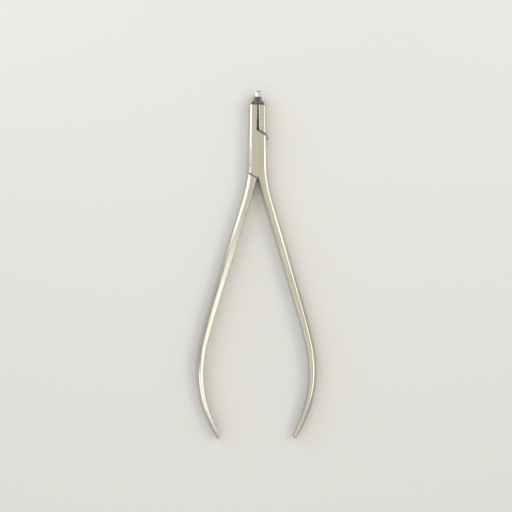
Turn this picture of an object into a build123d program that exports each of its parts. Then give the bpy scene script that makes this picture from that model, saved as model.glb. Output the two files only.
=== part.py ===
from build123d import *
import math
import os

# Orthodontic distal end cutter with a lap joint and long bowed handles, in millimetres.
# It lies on its back: X runs across the jaws, Y towards their tips and Z up through the joint.
# The origin is on the joint's axis, in the plane of the rear faces that the tool rests on.
# Each half is one forging that crosses over at the joint: its jaw and its handle have the full
# depth, and between them it is one layer of the lap.
# The shapes are drawn about the middle plane, where the two layers meet, and lifted at the end.

# Forged bar: the outer edge of one side, from the jaw's tip down to the handle's end
jaw_half_width = 3.57
flank_angle = 1.8
flank_length = 26.0
neck_radius = 63.0
shank_angle = 16.7
shank_length = 43.4
bow_entry_radius = 328.0
bow_entry_angle = 3.5
bow_radius = 50.5
bow_angle = 48.4
shank_width = 3.9
lap_thickness = 3.2
flat_stock = 0.03
head_overlap = 2.0
end_round = 0.6

# Outer rounding's width and depth at both ends of the jaw flank
flank_round_width_shares = (0.20, 0.29)
flank_round_depth_shares = (0.30, 0.56)
# Sections of the bar: how far along, width against the shank, depth against the lap, and the outer
# rounding's width and depth
neck_shares = (
    (0.2, 1.372, 1.000, 0.37, 0.60),
    (0.4, 1.167, 1.000, 0.44, 0.64),
    (0.6, 1.067, 1.000, 0.48, 0.67),
    (0.8, 1.013, 1.000, 0.50, 0.70),
    (1.0, 1.000, 1.000, 0.52, 0.72),
)
shank_shares = (
    (0.35, 1.008, 1.000, 0.53, 0.74),
    (0.70, 1.010, 1.000, 0.55, 0.76),
    (1.00, 1.000, 1.000, 0.57, 0.78),
)
bow_entry_shares = (
    (0.5, 0.969, 1.000, 0.60, 0.80),
    (1.0, 0.944, 1.000, 0.63, 0.82),
)
bow_shares = (
    (0.14, 0.928, 0.995, 0.65, 0.82),
    (0.28, 0.885, 0.965, 0.67, 0.82),
    (0.42, 0.831, 0.920, 0.69, 0.82),
    (0.56, 0.769, 0.860, 0.70, 0.82),
    (0.70, 0.713, 0.790, 0.70, 0.82),
    (0.84, 0.621, 0.710, 0.70, 0.80),
    (0.94, 0.500, 0.630, 0.68, 0.78),
    (1.00, 0.372, 0.560, 0.66, 0.76),
)
# The bar turns by no more than this, and runs no further, from one section to the next
section_angle = 2.8
section_run = 7.0
# Sections of the rounded end, as shares of how far it stands out
end_cap_shares = (0.5, 0.8, 0.97)
inner_round_share = 0.12
quarter_round_share = 0.5523

# Lap joint: the step above the pivot and the heel below it, on the front face
lap_clearance = 0.04
step_height = 10.8
step_slope = 33.8
step_gap = 0.7
heel_height = 10.5
heel_offset = 0.2
heel_slope = 29.3
heel_gap = 0.35
crotch_height = 11.2
edge_bevel = 0.3

# Lug on the right jaw that hooks round the front layer's corner
lug_reach = 0.75
lug_rise = 3.6
lug_drop = 1.5
lug_clearance = 0.2
lug_depth = 4.6
lug_fade = 2.4
lug_bevel = 0.3

# Ground tip: the flat faces end at this height and fall to the nose
ground_height = 21.8
ramp_length = 2.9
ramp_end_height = ground_height + ramp_length
ramp_fall = 1.6
steel_end_length = 2.8
steel_end_height = ground_height + steel_end_length
steel_end_half_width = 1.8
corner_facet = 0.55
back_taper_height = 9.0
back_taper_fall = 1.35

# Jaw gap: a slim wedge up to the ground tip, which closes under the nose
gap_half_width = 0.53
gap_ground_half_width = 0.3
gap_close_length = 3.7
gap_close_height = ground_height + gap_close_length
edge_clearance = 0.02

# Hard inserts, which end in the nose, and their braze
nose_length = 6.2
nose_height = ground_height + nose_length
nose_half_width = 1.5
nose_end_half_width = 1.36
nose_corner = 0.9
nose_proud = 1.0
nose_wall_lean = 0.35
nose_front_round = 1.1
nose_side_round = 0.55
roof_slope = 12.0
seat_length = 0.8
seat_height = ground_height + seat_length
braze_film = 0.1

# Leaf that holds the cut end of the wire, in a slot of the left jaw
leaf_thickness = 0.35
leaf_width = 2.4
leaf_length = 8.7
leaf_top_length = 2.4
leaf_top_height = ground_height + leaf_top_length
leaf_foot_height = leaf_top_height - leaf_length
leaf_pad_length = 2.0
leaf_pad_height = leaf_foot_height + leaf_pad_length
leaf_back = 0.50
leaf_seat_clearance = 0.02
leaf_side_clearance = 0.05
slot_depth = 0.70
slot_end_clearance = 0.4
leaf_end_round = 0.6

# Joint screw, from the rear
head_diameter = 5.0
head_recess = 1.3
head_sink = 0.1
head_side_clearance = 0.05
head_seat_clearance = 0.02
journal_diameter = 3.6
journal_clearance = 0.03
thread_diameter = 3.0
thread_length = 2.35
thread_clearance = 0.02
thread_end_clearance = 0.1
screw_slot_width = 0.8
screw_slot_depth = 0.55
screw_bevel = 0.2

# The two sides of the jaw gap
left_side = -1
right_side = 1

# Overrun of cuts, and a distance that is further out than any point of the tool
overrun = 0.5
far = 300.0


def heading(angle):
    """Direction of the bar's edge that leans out from straight down by this angle."""
    lean = math.radians(angle)
    return Vector(math.sin(lean), -math.cos(lean))


def bar_edges():
    """The outer edge of the right-hand bar: jaw flank, neck, shank, entry to the bow, and bow."""
    stock = nose_height - ground_height
    down = heading(flank_angle)
    top = Vector(jaw_half_width, ground_height) - down * stock
    flank = Line(top, top + down * (stock + flank_length))
    neck = JernArc(flank @ 1, flank % 1, neck_radius, shank_angle - flank_angle)
    shank = Line(neck @ 1, neck @ 1 + heading(shank_angle) * shank_length)
    entry = JernArc(shank @ 1, shank % 1, bow_entry_radius, -bow_entry_angle)
    bow = JernArc(entry @ 1, entry % 1, bow_radius, -bow_angle)
    return flank, neck, shank, entry, bow


def quarter_round(start, corner, end):
    """Quarter of an ellipse from start to end, inside the corner."""
    lead_in = start + (corner - start) * quarter_round_share
    lead_out = end + (corner - end) * quarter_round_share
    return Bezier(start, lead_in, lead_out, end)


def bar_section(place, tangent, width, half_depth, round_width_share, round_depth_share):
    """D-shaped section square to the outer edge: rounded outside, nearly square inside."""
    outward = Vector(-tangent.Y, tangent.X)
    plane = Plane(origin=place, x_dir=outward, z_dir=tangent)
    outer_width = width * round_width_share
    outer_depth = half_depth * round_depth_share
    inner = width * inner_round_share
    front = [
        Vector(-width, half_depth - inner),
        Vector(-width, half_depth),
        Vector(-width + inner, half_depth),
        Vector(-outer_width, half_depth),
        Vector(0, half_depth),
        Vector(0, half_depth - outer_depth),
    ]
    back = [Vector(point.X, -point.Y) for point in front]
    outline = [
        Line(back[0], front[0]),
        quarter_round(front[0], front[1], front[2]),
        Line(front[2], front[3]),
        quarter_round(front[3], front[4], front[5]),
        Line(front[5], back[5]),
        quarter_round(back[5], back[4], back[3]),
        Line(back[3], back[2]),
        quarter_round(back[2], back[1], back[0]),
    ]
    return plane * make_face(outline)


def between(ends, along):
    """Value that runs evenly from the first end to the last."""
    return ends[0] + (ends[1] - ends[0]) * along


def bar_rows():
    """Sizes along the bar: distance along the outer edge, width, half depth, rounding shares."""
    flank, *stretches = bar_edges()
    full = lap_thickness + flat_stock
    rows = []
    for end, rounds in enumerate(zip(flank_round_width_shares, flank_round_depth_shares)):
        rows.append((flank.length * end, (flank @ end).X + head_overlap, full, *rounds))
    distance = flank.length
    tables = (neck_shares, shank_shares, bow_entry_shares, bow_shares)
    for edge, table in zip(stretches, tables):
        for along, width_share, depth_share, *rounds in table:
            place = distance + edge.length * along
            rows.append((place, shank_width * width_share, full * depth_share, *rounds))
        distance += edge.length
    return rows


def forged_bar():
    """Right-hand bar from jaw tip to handle end. In the head it reaches over the middle."""
    outer = Wire(list(bar_edges()))
    rows = bar_rows()
    stations = [rows[0]]
    for start, end in zip(rows, rows[1:]):
        first, last = (outer.tangent_at(row[0], PositionMode.LENGTH) for row in (start, end))
        run = (end[0] - start[0]) / section_run
        steps = math.ceil(max(run, first.get_angle(last) / section_angle))
        for step in range(steps):
            along = (step + 1) / steps
            stations.append([between(sizes, along) for sizes in zip(start, end)])
    sections = []
    for distance, *sizes in stations:
        place = outer.position_at(distance, PositionMode.LENGTH)
        tangent = outer.tangent_at(distance, PositionMode.LENGTH)
        sections.append(bar_section(place, tangent, *sizes))
    width, depth, *rounds = sizes
    inward = Vector(tangent.Y, -tangent.X)
    for share in end_cap_shares:
        size = math.sqrt(1 - share * share)
        centred = place + tangent * (end_round * share) + inward * (width * (1 - size) / 2)
        sections.append(bar_section(centred, tangent, width * size, depth * size, *rounds))
    return loft(sections, ruled=True)


def slab(low, high):
    """Everything between two heights."""
    return extrude(Plane.XY.offset(low) * Rectangle(far, far), high - low)


def plate(points, low, high):
    """A flat plate with this outline between two heights."""
    return extrude(Plane.XY.offset(low) * make_face(Polyline(*points, close=True)), high - low)


def side_plate(points, half_width):
    """A plate across X whose outline is given as distances along Y and Z."""
    outline = make_face(Polyline(*points, close=True))
    return extrude(Plane.YZ.offset(-half_width) * outline, half_width + half_width)


def away(start, angle):
    """A point far away from the start in this direction."""
    turn = math.radians(angle)
    return Vector(start) + Vector(math.cos(turn), math.sin(turn)) * far


def mirrored(points):
    """The same outline on the other side of the middle."""
    return [(-Vector(point).X, Vector(point).Y) for point in points]


def lap_outlines():
    """Front-face outlines: the front layer with its jaw and handle, the other jaw and handle."""
    gap_top = (-edge_clearance, gap_close_height)
    gap_bend = (-gap_ground_half_width, ground_height)
    step_corner = (-gap_half_width, step_height)
    heel_corner = (-heel_offset, -heel_height)
    layer = [
        (-far, far),
        (-edge_clearance, far),
        gap_top,
        gap_bend,
        step_corner,
        away(step_corner, -step_slope),
        (far, -far),
        (0, -far),
        (0, -crotch_height),
        heel_corner,
        away(heel_corner, 180 - heel_slope),
    ]
    step = math.radians(step_slope)
    step_side = 2 * gap_half_width * math.tan(step)
    jaw_corner = (gap_half_width, step_height + step_gap / math.cos(step) - step_side)
    jaw = [
        (edge_clearance, far),
        (edge_clearance, gap_close_height),
        (gap_ground_half_width, ground_height),
        jaw_corner,
        away(jaw_corner, -step_slope),
        (far, far),
    ]
    heel = math.radians(heel_slope)
    heel_side = heel_gap * math.tan(heel)
    handle_side = heel_offset + heel_gap
    handle_corner = (-handle_side, heel_side - heel_height - heel_gap / math.cos(heel))
    handle = [
        handle_corner,
        away(handle_corner, 180 - heel_slope),
        (-far, -far),
        (-handle_side, -far),
    ]
    return layer, jaw, handle


def bevel_cutter(slit):
    """Widens a slit at 45 degrees towards the front face, so that both its edges are bevelled."""
    depth = edge_bevel + overrun
    low = make_face(Polyline(*slit, close=True))
    high = offset(low, depth, kind=Kind.INTERSECTION)
    foot = Plane.XY.offset(lap_thickness - edge_bevel)
    return loft([foot * low, foot.offset(depth) * high], ruled=True)


def bevel_cutters():
    """Bevels of the jaw gap and step, and of the heel, on the front face."""
    layer, jaw, handle = lap_outlines()
    reach = 3 * jaw_half_width / far
    step_out = Vector(layer[4]) + (layer[5] - Vector(layer[4])) * reach
    jaw_out = Vector(jaw[3]) + (jaw[4] - Vector(jaw[3])) * reach
    heel_out = Vector(layer[9]) + (layer[10] - Vector(layer[9])) * reach
    handle_out = Vector(handle[0]) + (handle[1] - Vector(handle[0])) * reach
    step_slit = [layer[2], layer[3], layer[4], step_out, jaw_out, jaw[3], jaw[2], jaw[1]]
    heel_slit = [layer[9], heel_out, handle_out, handle[0]]
    return bevel_cutter(step_slit), bevel_cutter(heel_slit)


def lap_half():
    """One forging with its lap: the layer in front, with the left jaw and the right handle."""
    right_bar = forged_bar()
    left_bar = mirror(right_bar, Plane.YZ)
    flats = slab(-lap_thickness, lap_thickness)
    envelope = (right_bar & flats) + (left_bar & flats)
    layer, jaw, handle = lap_outlines()
    room = plate(layer, lap_clearance / 2, far)
    room = room + plate(mirrored(jaw), -far, far)
    room = room + plate(mirrored(handle), -far, far)
    half = envelope & room
    for cutter in bevel_cutters():
        half = half - cutter
        half = half - Rot(0, 180, 0) * cutter
    return half


def corner_cutters():
    """Facets at 45 degrees along both outer edges of the front ramp, up to the nose."""
    ramp_slope = ramp_fall / ramp_length
    side_slope = (jaw_half_width - steel_end_half_width) / steel_end_length
    sections = []
    for height in (ground_height - ramp_length, ramp_end_height):
        rise = height - ground_height
        edge = jaw_half_width - side_slope * rise
        face = lap_thickness - ramp_slope * rise
        outline = Polyline(
            (edge - corner_facet, face),
            (edge, face - corner_facet),
            (edge + far, face - corner_facet),
            (edge + far, face + far),
            (edge - corner_facet, face + far),
            close=True,
        )
        sections.append(Plane.XZ.offset(-height) * make_face(outline))
    right = loft(sections, ruled=True)
    return right, mirror(right, Plane.YZ)


def tip_cutters():
    """Grinding of both jaws: the front ramp, the tapered back, the sides and the facets."""
    front = lap_thickness
    ramp_slope = ramp_fall / (ramp_end_height - ground_height)
    ramp_low = front - ramp_fall - ramp_slope * overrun
    ramp = side_plate(
        [
            (ground_height - overrun, front + ramp_slope * overrun),
            (ramp_end_height + overrun, ramp_low),
            (far, ramp_low),
            (far, far),
            (ground_height - overrun, far),
        ],
        far,
    )
    back = side_plate(
        [
            (back_taper_height, -lap_thickness),
            (nose_height, -lap_thickness + back_taper_fall),
            (far, -lap_thickness + back_taper_fall),
            (far, -far),
            (back_taper_height, -far),
        ],
        far,
    )
    side_outline = [
        (jaw_half_width, ground_height),
        (steel_end_half_width, steel_end_height),
        (steel_end_half_width, far),
        (far, far),
        (far, ground_height),
    ]
    right = plate(side_outline, -far, far)
    left = plate(mirrored(side_outline), -far, far)
    return ramp, back, right, left, *corner_cutters()


def seat_notch(side, film):
    """Room in the jaw's tip for its insert, less this film on the floor and the outer wall."""
    wall = nose_half_width + braze_film - film
    floor = seat_height + film
    outline = [(0, floor), (side * wall, floor), (side * wall, far), (0, far)]
    return plate(outline, -far, far)


def above(height):
    """Everything nearer the tip than this height."""
    return plate([(-far, height), (far, height), (far, far), (-far, far)], -far, far)


def leaf_slot():
    """Slot for the leaf in the left jaw, with a pad that its foot is welded to."""
    half_width = leaf_width / 2 + leaf_side_clearance
    pad = leaf_back + leaf_seat_clearance
    outline = [
        (overrun, leaf_foot_height - slot_end_clearance),
        (-pad, leaf_foot_height - slot_end_clearance),
        (-pad, leaf_pad_height),
        (-slot_depth, leaf_pad_height),
        (-slot_depth, leaf_top_height + slot_end_clearance),
        (overrun, leaf_top_height + slot_end_clearance),
    ]
    return plate(outline, -half_width, half_width)


def front_half():
    """Left jaw, front layer and right handle, with a blind tapped hole for the screw."""
    half = lap_half()
    for cutter in tip_cutters():
        half = half - cutter
    half = half - above(steel_end_height) - seat_notch(left_side, 0) - leaf_slot()
    hole_radius = thread_diameter / 2 + thread_clearance
    hole_depth = thread_length + thread_end_clearance
    hole = Plane.XY.offset(lap_clearance / 2) * Circle(hole_radius)
    return half - extrude(hole, hole_depth)


def lug():
    """Hook of the right jaw, round the outer corner of the front layer."""
    jaw_corner = Vector(lap_outlines()[1][3])
    fall = math.tan(math.radians(step_slope))
    lean = math.tan(math.radians(flank_angle))
    corner_height = step_height - (jaw_half_width + gap_half_width) * fall
    top = corner_height + lug_rise
    low = corner_height - lug_drop
    edge_low = jaw_half_width + (ground_height - low) * lean
    edge_top = jaw_half_width + (ground_height - top) * lean
    inside = edge_top - overrun
    hook = edge_low + lug_clearance
    claw = (edge_low + lug_reach, low)
    hook_face = jaw_corner.Y - (hook - jaw_corner.X) * fall
    inside_face = jaw_corner.Y - (inside - jaw_corner.X) * fall
    flare = Spline((edge_top, top), claw, tangents=(heading(flank_angle), heading(0)))
    hooked = Polyline(claw, (hook, hook_face), (inside, inside_face), (inside, top), (edge_top, top))
    edge_fade = edge_low + lug_fade * lean
    faded = (edge_fade, low - lug_fade)
    joined = Polyline(claw, faded, (inside, low - lug_fade), (inside, top), (edge_top, top))
    front = extrude(make_face([flare, hooked]), lug_depth / 2)
    rear = extrude(Plane.XY.offset(-lug_depth / 2) * make_face([flare, joined]), lug_depth / 2)
    rims = front.edges().filter_by(GeomType.BSPLINE).group_by(Axis.Z)[-1]
    front = chamfer(rims, lug_bevel)
    rims = rear.edges().filter_by(GeomType.BSPLINE).group_by(Axis.Z)[0]
    return front, chamfer(rims, lug_bevel)


def rear_half():
    """Right jaw, rear layer and left handle, with the screw's bore and head recess."""
    half = Rot(0, 180, 0) * lap_half()
    for cutter in tip_cutters():
        half = half - cutter
    half = half - above(steel_end_height) - seat_notch(right_side, 0)
    bore = Circle(journal_diameter / 2 + journal_clearance)
    recess = Circle(head_diameter / 2 + head_side_clearance)
    half = half - extrude(Plane.XY.offset(-lap_thickness) * bore, lap_thickness)
    half = half - extrude(Plane.XY.offset(-lap_thickness) * recess, head_recess)
    front_lug, rear_lug = lug()
    return half + rear_lug + front_lug


def joint_screw():
    """Slotted head in the rear recess, journal through the rear half, end in the front half."""
    head_under = head_recess - lap_thickness - head_seat_clearance
    head_top = head_sink - lap_thickness
    seat = lap_clearance / 2
    screw = extrude(Plane.XY.offset(head_top) * Circle(head_diameter / 2), head_under - head_top)
    screw = chamfer(screw.edges().group_by(Axis.Z)[0], screw_bevel)
    screw = screw + extrude(
        Plane.XY.offset(head_under) * Circle(journal_diameter / 2), seat - head_under
    )
    end = extrude(Plane.XY.offset(seat) * Circle(thread_diameter / 2), thread_length)
    screw = screw + chamfer(end.edges().group_by(Axis.Z)[-1], screw_bevel)
    slot = Plane.XY.offset(head_top) * Rectangle(far, screw_slot_width)
    return screw - extrude(slot, screw_slot_depth)


def nose_block():
    """Both inserts before they are parted: a nose with a shallow roof, over a ground ramp."""
    front_face = lap_thickness + nose_proud
    tip_back = back_taper_fall - lap_thickness
    plan = make_face(
        Polyline(
            (-nose_half_width, 0),
            (nose_half_width, 0),
            (nose_half_width, ramp_end_height),
            (nose_end_half_width, nose_height),
            (-nose_end_half_width, nose_height),
            (-nose_half_width, ramp_end_height),
            close=True,
        )
    )
    plan = fillet(plan.vertices().group_by(Axis.Y)[-1], nose_corner)
    side = make_face(
        Polyline(
            (ground_height, lap_thickness),
            (ramp_end_height, lap_thickness - ramp_fall),
            (ramp_end_height + nose_wall_lean, front_face),
            (nose_height, front_face),
            (nose_height, tip_back),
            (back_taper_height, -lap_thickness),
            (back_taper_height, lap_thickness),
            close=True,
        )
    )
    side = fillet(side.vertices().sort_by_distance((nose_height, front_face))[0], nose_front_round)
    eaves = front_face - nose_half_width * math.tan(math.radians(roof_slope))
    end = make_face(
        Polyline(
            (-nose_half_width, -lap_thickness),
            (nose_half_width, -lap_thickness),
            (nose_half_width, eaves),
            (0, front_face),
            (-nose_half_width, eaves),
            close=True,
        )
    )
    end = fillet(end.vertices().sort_by_distance((nose_half_width, eaves))[0], nose_side_round)
    end = fillet(end.vertices().sort_by_distance((-nose_half_width, eaves))[0], nose_side_round)
    block = extrude(Plane.XY.offset(-far) * plan, far + far)
    block = block & extrude(Plane.YZ.offset(-far) * side, far + far)
    return block & extrude(Plane.XZ.offset(-far) * end, far + far)


def jaw_room(side):
    """Everything on this side of the jaw gap, above the lap."""
    jaw = lap_outlines()[1]
    return plate(jaw if side > 0 else mirrored(jaw), -far, far)


def insert(side):
    """Hard insert of one jaw: its foot stands in the seat and its head is half of the nose."""
    piece = nose_block() & seat_notch(side, braze_film) & jaw_room(side)
    for cutter in corner_cutters():
        piece = piece - cutter
    return piece


def braze(side):
    """Film of braze on the seat's floor and outer wall, ground flush with the jaw's tip."""
    film = (seat_notch(side, 0) - seat_notch(side, braze_film)) & jaw_room(side)
    film = film - above(steel_end_height)
    for cutter in tip_cutters():
        film = film - cutter
    return film


def hold_leaf():
    """Flat spring leaf with a rounded free end."""
    outline = Rectangle(
        leaf_top_height - leaf_foot_height, leaf_width, align=(Align.MIN, Align.CENTER)
    )
    outline = fillet(outline.vertices().group_by(Axis.X)[-1], leaf_end_round)
    outline = Pos(leaf_foot_height, 0) * outline
    return extrude(Plane.YZ.offset(-leaf_back) * outline, leaf_thickness)


pieces = {
    "front_half": front_half(),
    "rear_half": rear_half(),
    "joint_screw": joint_screw(),
    "left_insert": insert(left_side) - leaf_slot(),
    "right_insert": insert(right_side),
    "left_braze": braze(left_side) - leaf_slot(),
    "right_braze": braze(right_side),
    "hold_spring": hold_leaf(),
}

# Each piece is lifted so that the rear faces lie in the plane of the origin
os.makedirs("parts", exist_ok=True)
for name, piece in pieces.items():
    export_step(Pos(0, 0, lap_thickness) * piece, f"parts/{name}.step")
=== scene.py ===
import bpy
import math
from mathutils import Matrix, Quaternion, Vector

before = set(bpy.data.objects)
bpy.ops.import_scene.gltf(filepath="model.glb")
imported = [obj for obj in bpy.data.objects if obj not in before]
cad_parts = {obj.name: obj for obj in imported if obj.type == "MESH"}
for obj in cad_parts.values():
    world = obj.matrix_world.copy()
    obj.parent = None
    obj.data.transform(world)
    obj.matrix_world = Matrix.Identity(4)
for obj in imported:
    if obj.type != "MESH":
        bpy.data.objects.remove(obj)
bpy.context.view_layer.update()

# Front half: the left jaw, the front layer of the lap and the right handle, in one stainless
# forging. It is ground to shape, then finished satin on a belt, so its grain runs along the bar
# and every edge has been rubbed bright. The tip in front of the flats is ground across instead,
# and there its colour is painted dark brown as painted shade on the sloping facets.
mm = 0.001
steel_grey = (0.645, 0.615, 0.555, 1)
steel_streak = (0.575, 0.545, 0.475, 1)
steel_worn = (0.72, 0.70, 0.66, 1)
# Painted shade: this dark colour on the tip stands in for the shade on its sloping facets.
tip_painted_shade = (0.34, 0.315, 0.275, 1)
bar_end = -122.1
nose_end = 28.0
flats_end = 21.8
flats_end_blur = 0.08
# How far the bar's outer edge stands from the middle: (height along the tool, reach)
outer_edge = (
    (28.0, 3.40),
    (21.8, 3.57),
    (8.8, 3.98),
    (-4.2, 4.39),
    (-12.0, 5.06),
    (-20.3, 7.01),
    (-41.0, 13.24),
    (-61.9, 19.49),
    (-72.0, 22.42),
    (-81.2, 24.66),
    (-92.8, 25.99),
    (-104.0, 24.74),
    (-113.0, 21.66),
    (-121.9, 16.76),
)
full_reach = 27.0
# Left and right bars, and the two forgings, take their grain from places this far apart, in metres
bars_apart = 0.04
forgings_apart = Vector((0.3, 0.7, 0.2))
# Grain sizes in millimetres, across and along the bar
fine_grain = (0.07, 5.0)
middle_grain = (0.30, 14.0)
broad_grain = (1.1, 34.0)
ground_lines = (0.05, 3.0)
ground_turn = (0, 0, 1.35)
scratch_size = (0.07, 12.0)
scratch_turn = (0.2, 0.1, 0.42)
scratch_depth = -0.8
smudge_scale = 130.0
steel_edge_radius = 0.16
satin_roughness = (0.155, 0.225)
ground_roughness = (0.13, 0.20)
rubbed_smoother = 0.07
grain_depth = 0.012
grain_strength = 0.30


class Finish:
    """Node tree of one finish, with short ways to add its nodes and feed their inputs."""

    def __init__(self, tree, shader):
        self.tree = tree
        self.shader = tree.nodes[shader]

    def feed(self, socket, value):
        if isinstance(value, bpy.types.NodeSocket):
            self.tree.links.new(value, socket)
        else:
            socket.default_value = value

    def add(self, kind, output, settings=(), **inputs):
        node = self.tree.nodes.new("ShaderNode" + kind)
        for setting, value in dict(settings).items():
            setattr(node, setting, value)
        for name, value in inputs.items():
            self.feed(node.inputs[name.replace("_", " ")], value)
        return node.outputs[output]

    def split(self, vector):
        return self.add("SeparateXYZ", "X", Vector=vector).node.outputs

    def math(self, operation, *values):
        node = self.tree.nodes.new("ShaderNodeMath")
        node.operation = operation
        for socket, value in zip(node.inputs, values):
            self.feed(socket, value)
        return node.outputs["Value"]

    def fade(self, value, start, end, low=0.0, high=1.0, curve="SMOOTHSTEP"):
        """Change from low to high as the value goes from start to end."""
        node = self.tree.nodes.new("ShaderNodeMapRange")
        node.interpolation_type = curve
        for socket, number in zip(node.inputs, (value, start, end, low, high)):
            self.feed(socket, number)
        return node.outputs["Result"]

    def blend(self, amount, plain, other):
        node = self.tree.nodes.new("ShaderNodeMix")
        node.data_type = "RGBA"
        for socket, value in ((0, amount), (6, plain), (7, other)):
            self.feed(node.inputs[socket], value)
        return node.outputs[2]

    def noise(self, place, scale, detail):
        return self.add("TexNoise", "Fac", Vector=place, Scale=scale, Detail=detail)

    def streaks(self, place, size, detail=2.0):
        """Noise drawn out along the bar: its size across and along it, in millimetres."""
        across, along = size
        scale = (1 / (across * mm), 1 / (along * mm), 1 / (across * mm))
        return self.noise(self.add("Mapping", "Vector", Vector=place, Scale=scale), 1.0, detail)

    def edges(self, radius):
        """Smoothed normal over the edges, and how far it leaves the face, from 0 to 1."""
        smooth = self.add("Bevel", "Normal", {"samples": 6}, Radius=radius * mm)
        flat = self.add("NewGeometry", "Normal")
        node = self.tree.nodes.new("ShaderNodeVectorMath")
        node.operation = "DOT_PRODUCT"
        self.feed(node.inputs[0], smooth)
        self.feed(node.inputs[1], flat)
        return smooth, self.fade(node.outputs["Value"], 0.995, 0.86)

    def surface(self, colour, roughness):
        self.feed(self.shader.inputs["Base Color"], colour)
        self.feed(self.shader.inputs["Roughness"], roughness)

    def relief(self, height, strength, depth, **normal):
        bump = self.add(
            "Bump", "Normal", Strength=strength, Distance=depth * mm, Height=height, **normal
        )
        self.feed(self.shader.inputs["Normal"], bump)


def new_metal(name):
    material = bpy.data.materials.new(name)
    material.use_nodes = True
    finish = Finish(material.node_tree, "Principled BSDF")
    finish.shader.inputs["Metallic"].default_value = 1.0
    return material, finish


def along_the_bar(finish, place, forging):
    """Place measured in from the bar's outer edge, so that a grain follows the bar."""
    x, y, z = finish.split(place)
    along = finish.fade(y, bar_end * mm, nose_end * mm, curve="LINEAR")
    reach = finish.add("FloatCurve", "Value", Value=along)
    points = reach.node.mapping.curves[0].points
    while len(points) < len(outer_edge):
        points.new(0.5, 0.5)
    for point, (height, stands_out) in zip(points, reversed(outer_edge)):
        point.location = ((height - bar_end) / (nose_end - bar_end), stands_out / full_reach)
    reach.node.mapping.update()
    edge = finish.math("MULTIPLY", reach, full_reach * mm)
    inset = finish.math("SUBTRACT", finish.math("ABSOLUTE", x), edge)
    side = finish.math("MULTIPLY", finish.math("SIGN", x), bars_apart)
    bar = finish.add("CombineXYZ", "Vector", X=finish.math("ADD", inset, side), Y=y, Z=z)
    return finish.add("Mapping", "Vector", Vector=bar, Location=forgings_apart * forging)


def satin_steel(name, forging):
    material, finish = new_metal(name)
    place = finish.add("TexCoord", "Object")
    bar = along_the_bar(finish, place, forging)
    fine = finish.streaks(bar, fine_grain)
    middle = finish.streaks(bar, middle_grain)
    broad = finish.streaks(bar, broad_grain, 1.0)
    turned = finish.add("Mapping", "Vector", Vector=place, Rotation=ground_turn)
    across = finish.streaks(turned, ground_lines)
    smudged = finish.add(
        "TexNoise", "Fac", Vector=place, Scale=smudge_scale, Detail=4.0, Roughness=0.62
    )
    slanted = finish.add("Mapping", "Vector", Vector=place, Rotation=scratch_turn)
    scratched = finish.fade(finish.streaks(slanted, scratch_size, 0.0), 0.755, 0.79)
    height = finish.split(place)["Y"]
    blur_start = (flats_end - flats_end_blur) * mm
    # Mask of the tip past the flats: it sets the ground finish there, and the painted shade in the
    # colour.
    ground_and_shaded_tip = finish.fade(height, blur_start, (flats_end + flats_end_blur) * mm)
    smooth, worn = finish.edges(steel_edge_radius)
    worn = finish.math("MULTIPLY", worn, finish.fade(ground_and_shaded_tip, 0.0, 1.0, 1.0, 0.35))

    streaked = finish.math("MULTIPLY", finish.fade(middle, 0.35, 0.72), 0.55)
    clouded = finish.math("MULTIPLY", finish.fade(broad, 0.35, 0.65), 0.4)
    colour = finish.blend(finish.math("ADD", streaked, clouded), steel_grey, steel_streak)
    colour = finish.blend(finish.math("MULTIPLY", scratched, 0.45), colour, steel_worn)
    # Painted shade: the tip past the flats is painted dark brown.
    colour = finish.blend(ground_and_shaded_tip, colour, tip_painted_shade)
    colour = finish.blend(finish.math("MULTIPLY", worn, 0.75), colour, steel_worn)

    satin = finish.fade(smudged, 0.36, 0.70, *satin_roughness)
    satin = finish.math("ADD", satin, finish.fade(middle, 0.3, 0.7, -0.02, 0.025))
    belt = finish.fade(across, 0.3, 0.7, *ground_roughness)
    roughness = finish.add("Mix", "Result", Factor=ground_and_shaded_tip, A=satin, B=belt)
    rubbed = finish.math("MULTIPLY", worn, rubbed_smoother)
    finish.surface(colour, finish.math("SUBTRACT", roughness, rubbed))

    lines = finish.add("Mix", "Result", Factor=ground_and_shaded_tip, A=fine, B=across)
    lines = finish.math("ADD", lines, finish.math("MULTIPLY", scratched, scratch_depth))
    finish.relief(lines, grain_strength, grain_depth, Normal=smooth)
    return material


def dress(name, material):
    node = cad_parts[name]
    node.data.materials.clear()
    node.data.materials.append(material)


dress("front_half", satin_steel("satin_steel_front", 1))

# Rear half: the right jaw, the rear layer of the lap and the left handle, forged and finished the
# same way as the front half. Its grain has its own pattern.
dress("rear_half", satin_steel("satin_steel_rear", 2))

# Hard inserts: two pieces of sintered carbide, brazed into the jaws' tips. They are harder and
# greyer than the steel, with a tight even grain and the fine lines of a diamond wheel.
carbide_grey = (0.49, 0.48, 0.46, 1)
carbide_dark = (0.39, 0.38, 0.365, 1)
carbide_edge = (0.56, 0.55, 0.53, 1)
carbide_grain_scale = 9000.0
carbide_cloud_scale = 700.0
carbide_roughness = (0.20, 0.30)
carbide_edge_radius = 0.10
wheel_lines = (0.035, 2.2)
wheel_turn = (0.3, 0.0, 0.5)
wheel_depth = 0.008


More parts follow.
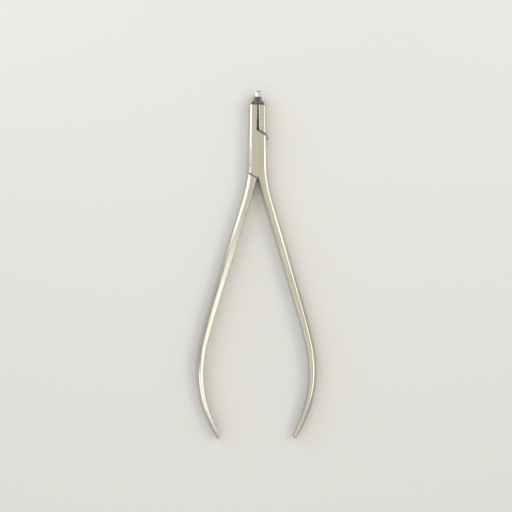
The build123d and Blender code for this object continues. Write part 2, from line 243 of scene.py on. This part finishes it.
def ground_carbide():
    material, finish = new_metal("ground_carbide")
    place = finish.add("TexCoord", "Object")
    grain = finish.noise(place, carbide_grain_scale, 3.0)
    turned = finish.add("Mapping", "Vector", Vector=place, Rotation=wheel_turn)
    lines = finish.streaks(turned, wheel_lines)
    cloudy = finish.noise(place, carbide_cloud_scale, 3.0)
    smooth, worn = finish.edges(carbide_edge_radius)
    colour = finish.blend(finish.fade(grain, 0.42, 0.75), carbide_grey, carbide_dark)
    colour = finish.blend(finish.math("MULTIPLY", worn, 0.8), colour, carbide_edge)
    finish.surface(colour, finish.fade(cloudy, 0.35, 0.7, *carbide_roughness))
    height = finish.math("ADD", lines, finish.math("MULTIPLY", grain, 0.5))
    finish.relief(height, 0.25, wheel_depth, Normal=smooth)
    return material


carbide = ground_carbide()
dress("left_insert", carbide)
dress("right_insert", carbide)

# Braze: a film of silver alloy that ran into the seats of the inserts and was ground flush. It is
# paler and yellower than the steel, with small pits that are painted darker as painted shade.
braze_silver = (0.80, 0.74, 0.60, 1)
# Painted shade: the colour inside the pits.
braze_pit_painted_shade = (0.42, 0.37, 0.28, 1)
braze_pit_scale = 5200.0
braze_flow_scale = 2400.0
braze_roughness = (0.28, 0.45)
braze_depth = 0.02


def silver_braze():
    material, finish = new_metal("silver_braze")
    place = finish.add("TexCoord", "Object")
    pits = finish.add("TexVoronoi", "Distance", Vector=place, Scale=braze_pit_scale)
    flow = finish.noise(place, braze_flow_scale, 3.0)
    pit_depth_and_shade = finish.fade(pits, 0.24, 0.10)
    # Painted shade: the pits are darkened in the colour; the same mask also dents them in the
    # relief.
    colour = finish.blend(pit_depth_and_shade, braze_silver, braze_pit_painted_shade)
    finish.surface(colour, finish.fade(flow, 0.3, 0.7, *braze_roughness))
    finish.relief(finish.math("SUBTRACT", flow, pit_depth_and_shade), 0.5, braze_depth)
    return material


braze = silver_braze()
dress("left_braze", braze)
dress("right_braze", braze)

# Joint screw: turned from stainless bar, so its head has fine rings round the axis, and slotted.
# It goes in from the rear and its head lies just below the rear face.
turned_grey = (0.66, 0.64, 0.60, 1)
turned_dark = (0.52, 0.50, 0.46, 1)
turned_worn = (0.72, 0.70, 0.66, 1)
turned_cloud_scale = 900.0
turned_roughness = (0.20, 0.30)
turned_edge_radius = 0.08
ring_pitch = 0.09
ring_depth = 0.006


def turned_steel():
    material, finish = new_metal("turned_steel")
    place = finish.add("TexCoord", "Object")
    across = finish.add("Mapping", "Vector", Vector=place, Scale=(1, 1, 0))
    radius = finish.tree.nodes.new("ShaderNodeVectorMath")
    radius.operation = "LENGTH"
    finish.feed(radius.inputs[0], across)
    turns = finish.math("MULTIPLY", radius.outputs["Value"], 2 * math.pi / (ring_pitch * mm))
    rings = finish.fade(finish.math("SINE", turns), -1.0, 1.0)
    cloudy = finish.noise(place, turned_cloud_scale, 3.0)
    smooth, worn = finish.edges(turned_edge_radius)
    colour = finish.blend(finish.fade(cloudy, 0.35, 0.7), turned_grey, turned_dark)
    colour = finish.blend(finish.math("MULTIPLY", worn, 0.7), colour, turned_worn)
    finish.surface(colour, finish.fade(rings, 0.0, 1.0, *turned_roughness))
    finish.relief(rings, 0.35, ring_depth, Normal=smooth)
    return material


dress("joint_screw", turned_steel())

# Holding leaf: a strip of rolled spring steel in a slot of the left jaw, welded at its foot. It
# keeps the bluish shine of the rolls and fine lines along its length.
rolled_blue = (0.58, 0.59, 0.60, 1)
rolled_straw = (0.56, 0.53, 0.47, 1)
rolled_heat_scale = 320.0
rolled_lines = (0.05, 6.0)
rolled_roughness = (0.14, 0.24)
rolled_depth = 0.005


def rolled_strip():
    material, finish = new_metal("rolled_strip")
    place = finish.add("TexCoord", "Object")
    lines = finish.streaks(place, rolled_lines)
    heat = finish.noise(place, rolled_heat_scale, 1.0)
    colour = finish.blend(finish.fade(heat, 0.35, 0.65), rolled_blue, rolled_straw)
    finish.surface(colour, finish.fade(lines, 0.3, 0.7, *rolled_roughness))
    finish.relief(lines, 0.2, rolled_depth)
    return material


dress("hold_spring", rolled_strip())

# Floor: a pale matt board that the pliers lie on, with the faint tooth of card.
floor_size = 4.0
card_pale = (0.78, 0.78, 0.77, 1)
card_shade = (0.75, 0.75, 0.74, 1)
card_tooth_scale = 900.0
card_roughness = 0.85
bpy.ops.mesh.primitive_plane_add(size=floor_size, location=(0, 0, 0))
floor = bpy.context.object
floor.name = "floor"
board = bpy.data.materials.new("pale_board")
board.use_nodes = True
card = Finish(board.node_tree, "Principled BSDF")
tooth = card.noise(card.add("TexCoord", "Object"), card_tooth_scale, 4.0)
card.surface(card.blend(tooth, card_pale, card_shade), card_roughness)
floor.data.materials.append(board)

# Light: soft boxes round a pale room. Each box hangs with its long side along the pliers and is
# turned about that side, so that the bars show bright bands with soft edges.
light_boxes = (
    # name, centre in millimetres, tilt in degrees, width, length, brightness
    ("overhead_box", (-30, -110, 500), 0, 130, 260, 0.8),
    ("left_box", (-215, 165, 280), -68, 470, 160, 1.6),
    ("left_low_box", (-230, -185, 300), -50, 250, 130, 1.0),
    ("right_strip", (335, -45, 465), 36, 200, 390, 1.3),
    ("right_box", (285, 150, 225), 62, 300, 175, 0.8),
)
for name, centre, tilt, width, length, brightness in light_boxes:
    lamp = bpy.data.lights.new(name, "AREA")
    lamp.shape = "RECTANGLE"
    lamp.size = width * mm
    lamp.size_y = length * mm
    lamp.energy = 4 * lamp.size * lamp.size_y * brightness
    box = bpy.data.objects.new(name, lamp)
    box.location = Vector(centre) * mm
    box.rotation_euler = (0, math.radians(tilt), 0)
    bpy.context.scene.collection.objects.link(box)

# Room: warm and pale overhead, cooler on the left, and darker low down beyond the tip and in one
# band on the right.
room_overhead = (0.83, 0.80, 0.69, 1)
room_left = (0.56, 0.58, 0.62, 1)
room_beyond = (0.26, 0.24, 0.21, 1)
room_band = (0.42, 0.41, 0.39, 1)
world = bpy.data.worlds.new("room")
bpy.context.scene.world = world
world.use_nodes = True
room = Finish(world.node_tree, "Background")
facing = room.split(room.add("TexCoord", "Generated"))
sideways = facing["X"]
forward = facing["Y"]
walls = room.blend(room.fade(sideways, -0.05, -0.55), room_overhead, room_left)
band_start = room.fade(sideways, 0.62, 0.84)
band_end = room.fade(sideways, 0.985, 0.93)
walls = room.blend(room.math("MULTIPLY", band_start, band_end), walls, room_band)
walls = room.blend(room.fade(forward, 0.55, 0.90), walls, room_beyond)
room.feed(room.shader.inputs["Color"], walls)
room.shader.inputs["Strength"].default_value = 1.0

# Camera: above the pliers, a little towards the handles and to the left, as in the photograph.
camera_aim = Vector((-0.7, -44.73, 6.4)) * mm
camera_distance = 349 * mm
camera_left = math.radians(5)
camera_low = math.radians(6)
camera_roll = math.radians(0.15)
lens_data = bpy.data.cameras.new("camera")
lens_data.lens = 57.3
lens_data.sensor_width = 36
lens_data.clip_start = 0.01
lens_data.clip_end = 20
camera = bpy.data.objects.new("camera", lens_data)
turned_left = Quaternion((0, 1, 0), -camera_left)
turned_low = Quaternion((1, 0, 0), camera_low)
turned_level = Quaternion((0, 0, 1), camera_roll)
camera.rotation_mode = "QUATERNION"
camera.rotation_quaternion = turned_left @ turned_low @ turned_level
camera.location = camera_aim + turned_left @ turned_low @ Vector((0, 0, camera_distance))
bpy.context.scene.collection.objects.link(camera)
bpy.context.scene.camera = camera
bpy.context.scene.view_settings.view_transform = "Standard"
